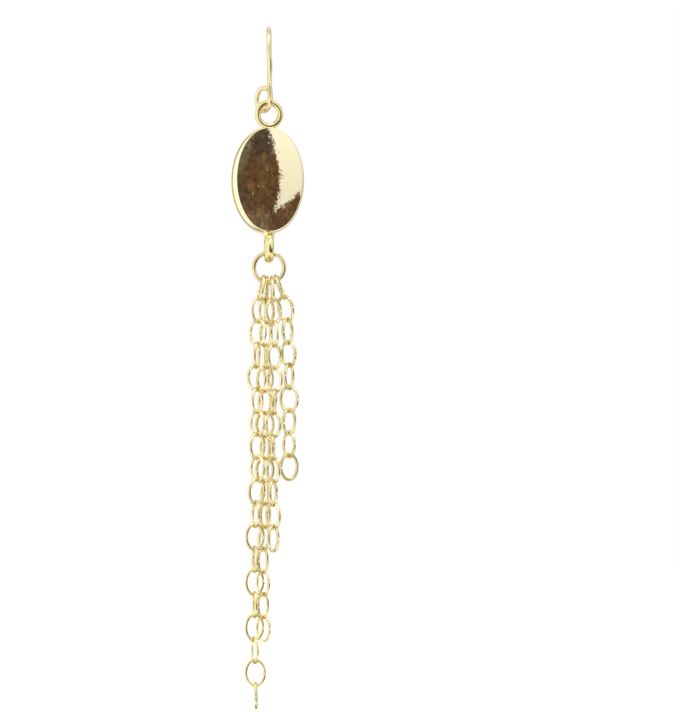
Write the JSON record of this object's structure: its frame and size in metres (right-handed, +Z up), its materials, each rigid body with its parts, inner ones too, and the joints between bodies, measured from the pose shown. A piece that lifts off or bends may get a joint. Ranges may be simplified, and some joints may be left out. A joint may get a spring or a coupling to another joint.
{
  "type": "dangle earring",
  "caption": "Long dangle earring: a wire ear hook, a domed oval metal drop and a jump ring with a staggered tassel of oval-link chains.",
  "frame": {"origin": "inside top of the ear hook's bend, where the ear carries the earring", "axes": "+Z up along the hanging length, the drop's face towards -Y, +X to the right seen from the front"},
  "size_m": [0.0126, 0.0104, 0.1178],
  "materials": {
    "hook_gold": "polished gold-tone plate",
    "drop_gold": "mirror-polished gold-tone plate",
    "ring_gold": "slightly dull gold-tone plate",
    "chain_gold": "bright gold-tone plate"
  },
  "bodies": {
    "hook": {"ear_hook": "hook_gold"},
    "drop": {"oval_drop": "drop_gold", "jump_ring": "ring_gold", "chain_longest": "chain_gold", "chain_second": "chain_gold", "chain_third": "chain_gold", "chain_shortest": "chain_gold"}
  },
  "joints": [
    {"name": "drop_swing", "type": "hinge", "parent": "hook", "child": "drop", "pos_m": [-0.0002, 0, -0.01376], "axis": [-0.342, 0.9397, 0], "range_deg": [-60, 60]}
  ]
}
